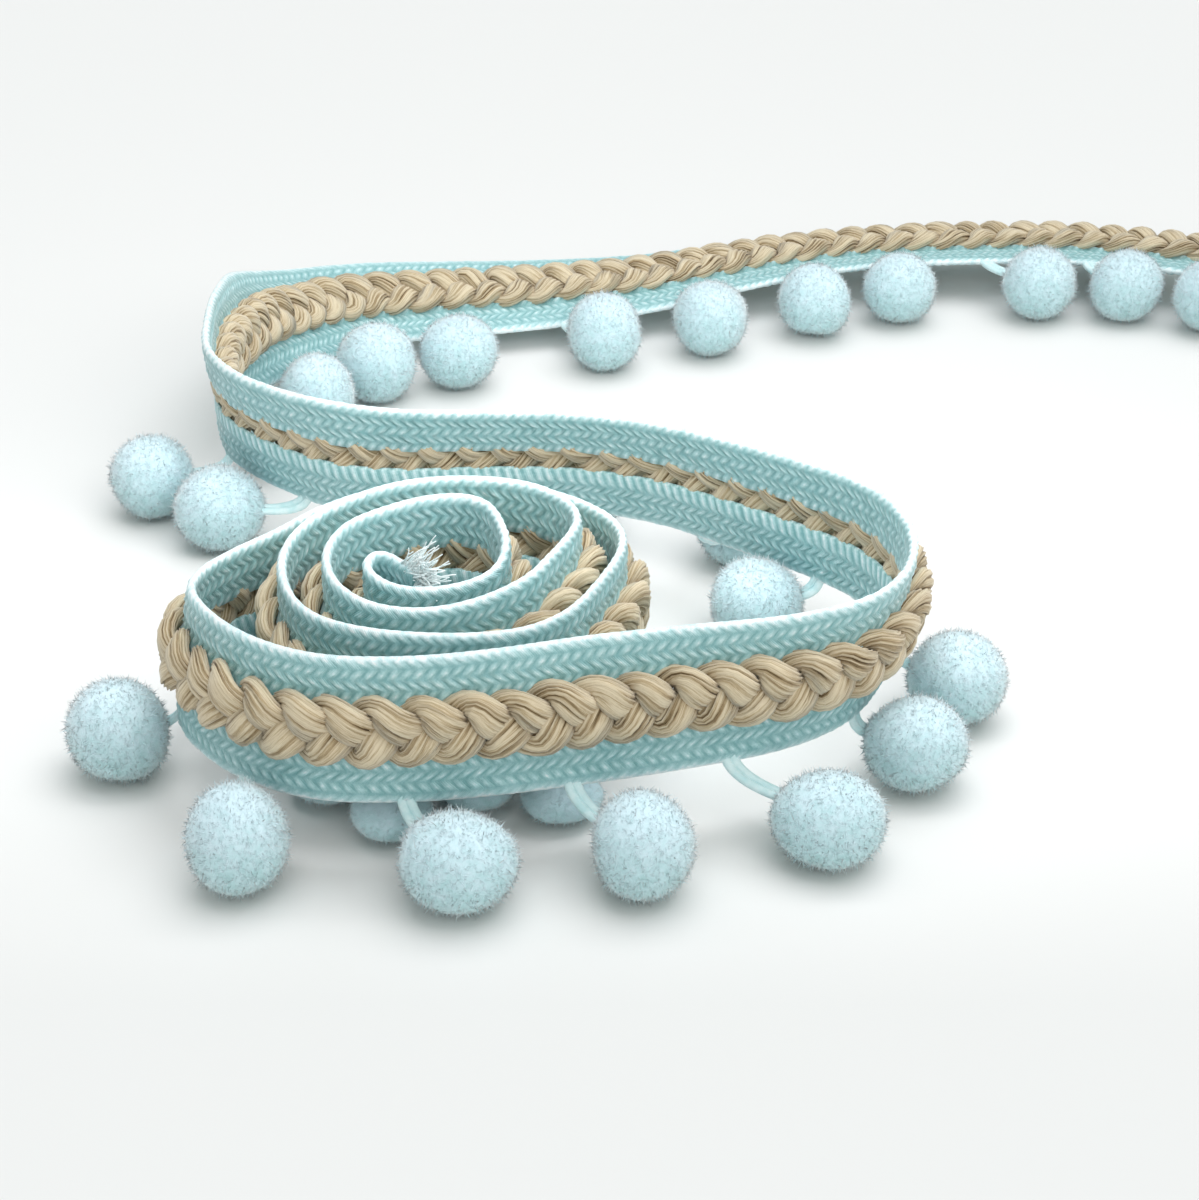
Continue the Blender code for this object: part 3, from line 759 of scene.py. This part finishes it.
def soft_yarn(name, dark, light):
    made, tree, shader = start_material(name, Roughness=0.7)
    shader.inputs["Sheen Weight"].default_value = 0.3
    where = add_node(tree, "ShaderNodeTexCoord")
    cloud = add_node(tree, "ShaderNodeTexNoise", links={"Vector": where.outputs["Object"]},
                     values={"Scale": 900.0, "Detail": 3.0})
    tone = add_node(tree, "ShaderNodeValToRGB", links={"Fac": cloud.outputs["Fac"]})
    colour_steps(tone, (0.3, dark), (0.7, light))
    tree.links.new(tone.outputs["Color"], shader.inputs["Base Color"])
    bump = add_node(tree, "ShaderNodeBump", links={"Height": cloud.outputs["Fac"]},
                    values={"Strength": 0.4, "Distance": 0.05 * MM})
    tree.links.new(bump.outputs["Normal"], shader.inputs["Normal"])
    return made


fluff = pile()
tail_finish = soft_yarn("soft_tail_yarn", "#C4E7EA", "#E2F6F8")
opened_yarn = soft_yarn("opened_satin_yarn", "#E9F7F9", "#FBFEFE")

# %% [markdown]
# ## The pompoms
#
# Two balls of pile are made first, at a radius of 1, the second with fewer fibres for the pompoms under
# the roll: a core from Blender's icosphere and some thousands of small pointed fibres that stand out
# of it, each leaning its own way, as brushed pile does. Many small things like these come from arrays
# of numbers, which is quicker than an operator for each. Every pompom is then a copy of one of the
# two, turned at random, made uneven, and set where its solid is. The fibres are lit as the ball under
# them is, which is what makes them read as soft pile and not as splinters.

# %% A ball of pile
CORE_RADIUS = 0.955  # of the pompom's
FIBRE_ROOT = 0.92
FIBRE_TIP = (0.99, 1.06)  # from the shortest to the longest
STRAY_TIP = 1.11          # a few stand out further
STRAY_SHARE = 0.08
FIBRE_WIDTH = 0.013        # at its root
FIBRE_LEAN = (0.03, 0.20)  # how far to the side its tip lies
TIP_HIGHLIGHT = 0.5             # painted highlight: how much paler a tip is than the pile under it
OWN_LIGHT = 0.3            # how much a fibre is lit its own way
CORE_UNEVEN = 0.005
FIBRE_UNEVEN = 0.02  # how far a fibre stands from its even place


def ball_of_pile(seed, fineness, fibres):
    """Points, triangles, directions for lighting, and which points are tips, for a radius of 1."""
    rng = np.random.default_rng(seed)
    bm = bmesh.new()
    bmesh.ops.create_icosphere(bm, subdivisions=fineness, radius=CORE_RADIUS)
    core = np.array([vertex.co[:] for vertex in bm.verts])
    core_faces = np.array([[vertex.index for vertex in face.verts] for face in bm.faces])
    bm.free()
    core = core * (1.0 + rng.normal(0.0, CORE_UNEVEN, (len(core), 1)))
    number = np.arange(fibres)
    round_by = math.pi * (3.0 - math.sqrt(5.0)) * number          # the golden angle spreads them evenly
    level = 1.0 - (2.0 * number + 1.0) / fibres
    flat = np.sqrt(1.0 - level ** 2)
    way = np.stack([flat * np.cos(round_by), flat * np.sin(round_by), level], axis=-1)
    way = way + rng.normal(0.0, FIBRE_UNEVEN, way.shape)
    way /= np.linalg.norm(way, axis=-1, keepdims=True)
    lean = np.cross(way, rng.normal(0.0, 1.0, way.shape))
    lean /= np.linalg.norm(lean, axis=-1, keepdims=True)
    tip_way = way + lean * rng.uniform(*FIBRE_LEAN, (fibres, 1))
    tip_way /= np.linalg.norm(tip_way, axis=-1, keepdims=True)
    reach = rng.uniform(*FIBRE_TIP, (fibres, 1))
    reach[rng.random(fibres) < STRAY_SHARE] = STRAY_TIP
    tip = tip_way * reach
    other = np.cross(way, lean)
    spin = rng.uniform(0.0, 2 * np.pi, fibres)
    roots = []
    for third in range(3):
        angle = (spin + 2 * np.pi * third / 3)[:, None]
        roots.append(way * FIBRE_ROOT + FIBRE_WIDTH * (lean * np.cos(angle) + other * np.sin(angle)))
    first = len(core) + number
    faces = [np.stack([first + fibres * a, first + fibres * b, first + fibres * 3], axis=-1)
             for a, b in ((0, 1), (1, 2), (2, 0))]
    lit = way + OWN_LIGHT * rng.normal(0.0, 1.0, way.shape)
    points = np.concatenate([core, *roots, tip])
    lights = np.concatenate([core, lit, lit, lit, lit])
    at_tip = np.arange(len(points)) >= len(core) + 3 * fibres
    return points, np.concatenate([core_faces, *faces]), lights, at_tip


full_pile = ball_of_pile(seed=5, fineness=5, fibres=3400)
trapped_pile = ball_of_pile(seed=6, fineness=4, fibres=2000)   # under the roll, where it hardly shows
print("ball of pile:", len(full_pile[1]), "triangles")

# %% [markdown]
# The place and size of each pompom are read from its solid: the flat foot that it stands on lies
# around its middle and is half as wide as the ball, and the highest point over that middle is its
# crown. The core is made as flat as the solid, but the pile on it keeps its length, as real pile does
# where a pompom is trapped.

# %% Each pompom's own shape
LUMPS = 14                                  # dents and bulges on one pompom
LUMP_SIZE = 0.045                           # of the ball's radius
LUMP_SPREAD = (0.03, 0.3)                   # from the narrowest to the widest
UNEVEN_SIZE = (0.97, 1.06)                  # of the solid's width or height
SINKS_IN = 0.015                            # of the ball's height, how far it is pressed on the table
ODD_SHAPES = {17: (0.98, 1.12), 18: (1.12, 0.98), 19: (1.0, 1.08), 20: (1.12, 0.92)}  # wide, tall
LOWEST = 0.02                               # mm, so that no fibre goes into the table
FOOT_LEVEL = 0.001                          # mm, no point of a solid's foot is higher
CROWN_NEAR = 0.05                           # mm, how near the middle the crown's point is


def ball_place(node):
    """Middle of the foot, width and height of the ball in a pompom's solid, in metres."""
    points = np.array([vertex.co[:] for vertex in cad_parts[node].data.vertices])
    foot = points[points[:, 2] < FOOT_LEVEL * MM]
    middle = (foot[:, :2].max(axis=0) + foot[:, :2].min(axis=0)) / 2
    width = 4 * np.hypot(*(foot[:, :2] - middle).T).max()
    over = np.hypot(*(points[:, :2] - middle).T) < CROWN_NEAR * MM
    return middle, width, points[over, 2].max()


def random_turn(rng):
    """A rotation matrix drawn evenly from all of them."""
    matrix, upper = np.linalg.qr(rng.normal(0.0, 1.0, (3, 3)))
    matrix = matrix * np.sign(np.diag(upper))
    return matrix * np.sign(np.linalg.det(matrix))


def pile_ball(points, lights, middle, width, height, odd, rng):
    """The ball's points and lighting: turned, made uneven, pressed on the table, set in place."""
    turn = random_turn(rng)
    points, lights = points @ turn.T, lights @ turn.T
    way = points / np.linalg.norm(points, axis=1, keepdims=True)
    for _ in range(LUMPS):
        lump = rng.normal(0.0, 1.0, 3)
        near = way @ (lump / np.linalg.norm(lump))
        swell = LUMP_SIZE * rng.uniform(-1.0, 1.0) * np.exp(-((1 - near) / rng.uniform(*LUMP_SPREAD)) ** 2)
        points = points * (1.0 + swell)[:, None]
    wide, tall = odd or rng.uniform(*UNEVEN_SIZE, 2)
    stretch = np.array([width * wide, width, height * tall]) / 2
    reach = np.linalg.norm(points, axis=1, keepdims=True)
    pile_length = np.maximum(reach - CORE_RADIUS, 0.0)
    outward = way / stretch
    outward /= np.linalg.norm(outward, axis=1, keepdims=True)
    points = points * (1.0 - pile_length / reach) * stretch + outward * pile_length * width / 2
    points += np.array([*middle, height * tall / 2])
    points[:, 2] = np.maximum(points[:, 2] - SINKS_IN * height, LOWEST * MM)
    return points, lights / stretch


print("first pompom, wide and tall in mm:", [round(v / MM, 1) for v in ball_place("pompom_01")[1:]])

# %% [markdown]
# A tail is two soft yarns side by side. They come out of the lower tape's edge, sag a little and go
# down into the ball.

# %% Tails
TAIL_RINGS, TAIL_SIDES = 12, 8
TAIL_YARN = 0.5     # mm, half the width of one yarn
YARN_FLAT = 0.8     # how thick one is for its width
YARNS_APART = 0.84  # of half a yarn's width, from the tail's middle
TAIL_STARTS = 1.3   # mm, inside the tape
TAIL_LEAVES = 1.4   # mm below the edge, the second point of its curve
TAIL_SAG = 0.35     # mm, how far the third point hangs
TAIL_ENDS = 0.3     # of the ball's height, how near its middle the tail ends


def tail_shape(path, lean, yarn):
    """One of the two yarns of a tail, along a cubic curve through four points."""

    def shape(ring, side):
        t = (ring / TAIL_RINGS)[:, None]
        weights = ((1 - t) ** 3, 3 * t * (1 - t) ** 2, 3 * t ** 2 * (1 - t), t ** 3)
        centre = sum(weight * point for weight, point in zip(weights, path))
        slopes = (-3 * (1 - t) ** 2, 3 * (1 - t) * (1 - 3 * t), 3 * t * (2 - 3 * t), 3 * t ** 2)
        ahead = sum(slope * point for slope, point in zip(slopes, path))
        ahead /= np.linalg.norm(ahead, axis=-1, keepdims=True)
        sideways = lean - ahead * (ahead @ lean)[:, None]
        sideways /= np.linalg.norm(sideways, axis=-1, keepdims=True)
        outward = np.cross(ahead, sideways)
        angle = (2 * np.pi * side / TAIL_SIDES)[:, None]
        middle = centre + sideways * yarn * TAIL_YARN * YARNS_APART * MM
        return middle + TAIL_YARN * MM * (sideways * np.cos(angle) + YARN_FLAT * outward * np.sin(angle))

    return shape


def tail_path(root, middle, height):
    """From inside the tape's edge, out of it, over, and into the ball; and the way of its width."""
    inside, edge, ahead = laid(np.array([root, root, root + 1.0]),
                               np.array([TAIL_STARTS, -TAIL_LEAVES, TAIL_STARTS]), np.zeros(3))
    centre = np.array([*middle, height / 2])
    to_ball = centre - edge
    goal = centre - to_ball / np.linalg.norm(to_ball) * height * TAIL_ENDS
    hang = (edge + goal) / 2 - np.array([0.0, 0.0, TAIL_SAG * MM])
    return (inside, edge, hang, goal), (ahead - inside) / np.linalg.norm(ahead - inside)


print("a tail has", TAIL_RINGS + 1, "rings of", TAIL_SIDES, "points for each of its two yarns")

# %% [markdown]
# Ball and tail become one piece, with a finish each. The pile is painted darkest low down, as shade,
# and palest at the tips of its fibres, as a painted highlight.

# %% Pompoms
FIRST_POMPOM = 12.2  # mm along the trim
POMPOM_PITCH = 16.4  # mm
UNDER_ROLL = 15      # this many are trapped under the roll


def add_pompom(number):
    node = f"pompom_{number:02d}"
    rng = np.random.default_rng(100 + number)
    middle, width, height = ball_place(node)
    unit_points, faces, unit_lights, at_tip = trapped_pile if number <= UNDER_ROLL else full_pile
    points, lights = pile_ball(unit_points, unit_lights, middle, width, height, ODD_SHAPES.get(number), rng)
    ball = bpy.data.meshes.new(node)
    ball.from_pydata(points, [], faces)
    bm = bmesh.new()
    bm.from_mesh(ball)
    bpy.data.meshes.remove(ball)
    for face in bm.faces:
        face.smooth = True
    path, lean = tail_path(FIRST_POMPOM + POMPOM_PITCH * (number - 1), middle, height)
    for yarn in (-1, 1):
        sleeve(bm, TAIL_RINGS, TAIL_SIDES, tail_shape(path, lean, yarn), no_creases, material_index=1)
    crest = bm.verts.layers.float["crest"]
    # Painted light for the pile: painted shade low down, a painted highlight higher up and at the fibre
    # tips.
    pile_painted_light = points[:, 2] / height + TIP_HIGHLIGHT * at_tip
    for vertex, tone in zip(list(bm.verts), pile_painted_light):      # the ball's come first, the tail's keep theirs
        vertex[crest] = tone
    made = add_piece(f"pile_{node}", bm, fluff, tail_finish)
    normals = np.array([vertex.vector[:] for vertex in made.data.vertex_normals])
    normals[:len(lights)] = lights / np.linalg.norm(lights, axis=1, keepdims=True)
    made.data.normals_split_custom_set_from_vertices(normals)
    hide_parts(node)
    return made


pompom_count = sum(name.startswith("pompom_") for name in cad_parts)
pompoms = [add_pompom(number) for number in range(1, pompom_count + 1)]

# %% [markdown]
# ## The frayed end inside the roll
#
# Cut braid comes undone: at the end inside the roll the satin yarn has opened into a pale tuft, and
# some plies of the cotton stick out beside it. Each yarn is a thin sleeve that starts in the cut end,
# runs on past it and curls away to the front of the tape.

# %% Loose yarn ends
LOOSE_RINGS, LOOSE_SIDES = 6, 4
LOOSE_ENDS = (
    # name           finish    count  across         from the end  length      rise         thick
    ("upper_tuft",   "satin",   190,  (12.0, 15.9),  (0.1, 2.2),   (2.2, 4.8), (-10, 70),   0.15),
    ("lower_tuft",   "satin",   30,   (0.6, 5.6),    (0.1, 0.6),   (1.0, 2.6), (-40, 30),   0.12),
    ("cotton_tuft",  "cotton",  30,   (7.0, 11.5),   (0.1, 0.8),   (2.4, 4.6), (-30, 50),   0.14),
)
LOOSE_CURL = (-0.4, 0.9)   # of half its length, how far out its tip curls
LOOSE_OUT = (-0.35, 0.35)  # mm, out of the tape's middle at its start
LOOSE_WAVE = (0.1, 0.3)    # mm at its tip
LOOSE_WAVES = 5.0          # radians of wave along it
LOOSE_TAPER = 0.5          # how much thinner its tip is


def loose_shape(rng, up, start, length, rise, thick):
    """One loose yarn: where it starts, its length, which way it rises, and half its width, in mm."""
    curl = rng.uniform(*LOOSE_CURL)
    out = rng.uniform(*LOOSE_OUT)
    wave, beat = rng.uniform(*LOOSE_WAVE), rng.uniform(0.0, 2 * np.pi)
    rise = math.radians(rise)

    def shape(ring, side):
        t = ring / LOOSE_RINGS
        along = start - length * math.cos(rise) * t
        across = up + length * math.sin(rise) * t + wave * np.sin(LOOSE_WAVES * t + beat) * t
        out_by = out + length / 2 * curl * t * t + wave * np.cos(LOOSE_WAVES * t + beat) * t
        angle = 2 * np.pi * side / LOOSE_SIDES
        half = thick * (1.0 - LOOSE_TAPER * t)
        return laid(along, across + half * np.cos(angle), out_by + half * np.sin(angle))

    return shape


def add_loose_ends(name, finish, count, across, from_end, length, rise, thick, rng):
    bm = bmesh.new()
    for _ in range(count):
        shape = loose_shape(rng, rng.uniform(*across), rng.uniform(*from_end), rng.uniform(*length),
                            rng.uniform(*rise), thick)
        sleeve(bm, LOOSE_RINGS, LOOSE_SIDES, shape, no_creases)
    made = add_piece(name, bm, opened_yarn if finish == "satin" else natural)
    return made


fray = np.random.default_rng(77)
for row in LOOSE_ENDS:
    add_loose_ends(*row, fray)

# %% [markdown]
# ## The cloth
#
# The tapes are the cloth of this object. Together with the gap that the plait covers they were cut as
# one band, 16 mm wide. It was laid on its pompoms, and the plait is sewn to it.

# %% The sheet
print("cloth:", WIDTH, "mm wide and", round(LENGTH), "mm long")
